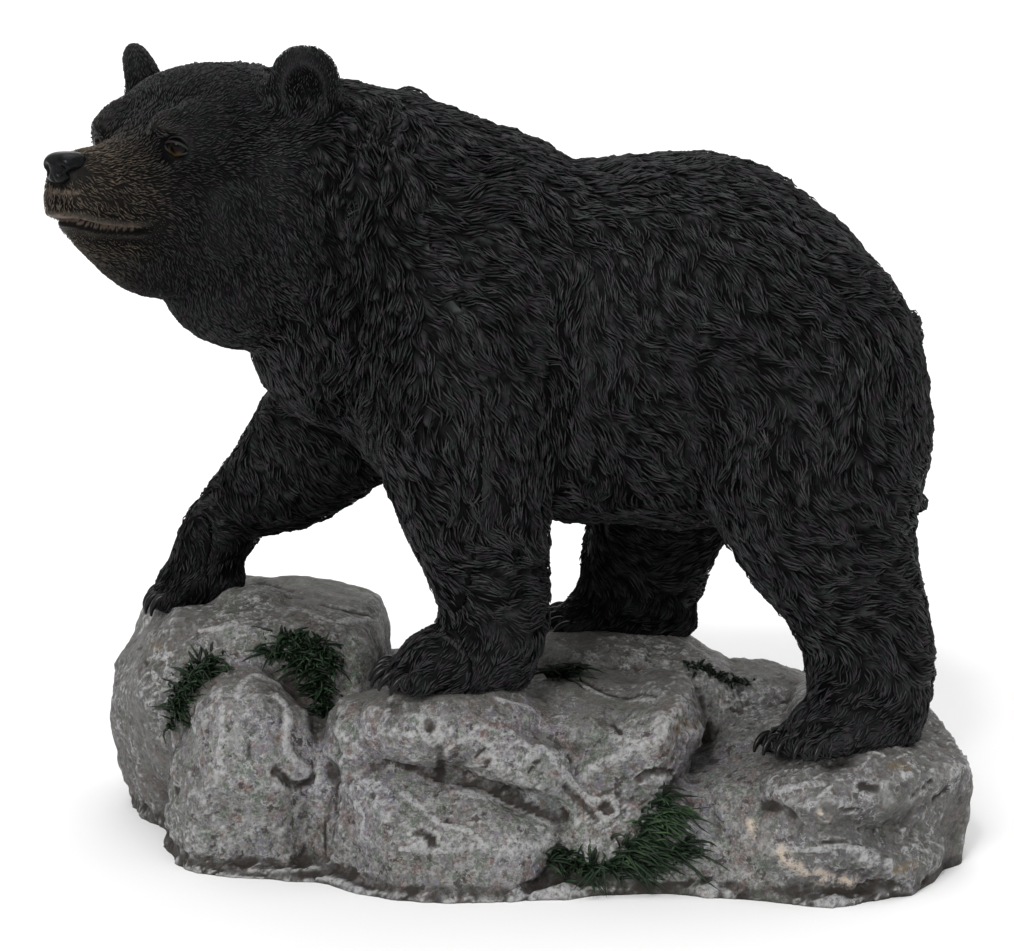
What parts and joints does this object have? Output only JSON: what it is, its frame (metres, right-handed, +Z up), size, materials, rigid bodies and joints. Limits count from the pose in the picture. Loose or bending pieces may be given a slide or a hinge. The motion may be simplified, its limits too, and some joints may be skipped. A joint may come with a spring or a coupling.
{
  "type": "bear on rock figurine",
  "caption": "Cast resin figurine of a black bear walking over a bed of boulders, its head turned to the side and a forepaw set on the tallest stone.",
  "frame": {"origin": "on the flat underside of the rock bed, below the middle of the bear", "axes": "+X from the nose to the rump, +Y to the bear's right, the far side, +Z up"},
  "size_m": [0.1896, 0.0989, 0.1723],
  "materials": {
    "bear": "cast resin with carved fur, painted near black, brown on the muzzle, gloss on the nose, eyes and claws",
    "rock_bed": "cast resin, painted stone grey with a dark wash and pale dry brushing, green on the grass"
  },
  "bodies": {
    "root": {"bear": "bear", "rock_bed": "rock_bed"}
  },
  "joints": []
}
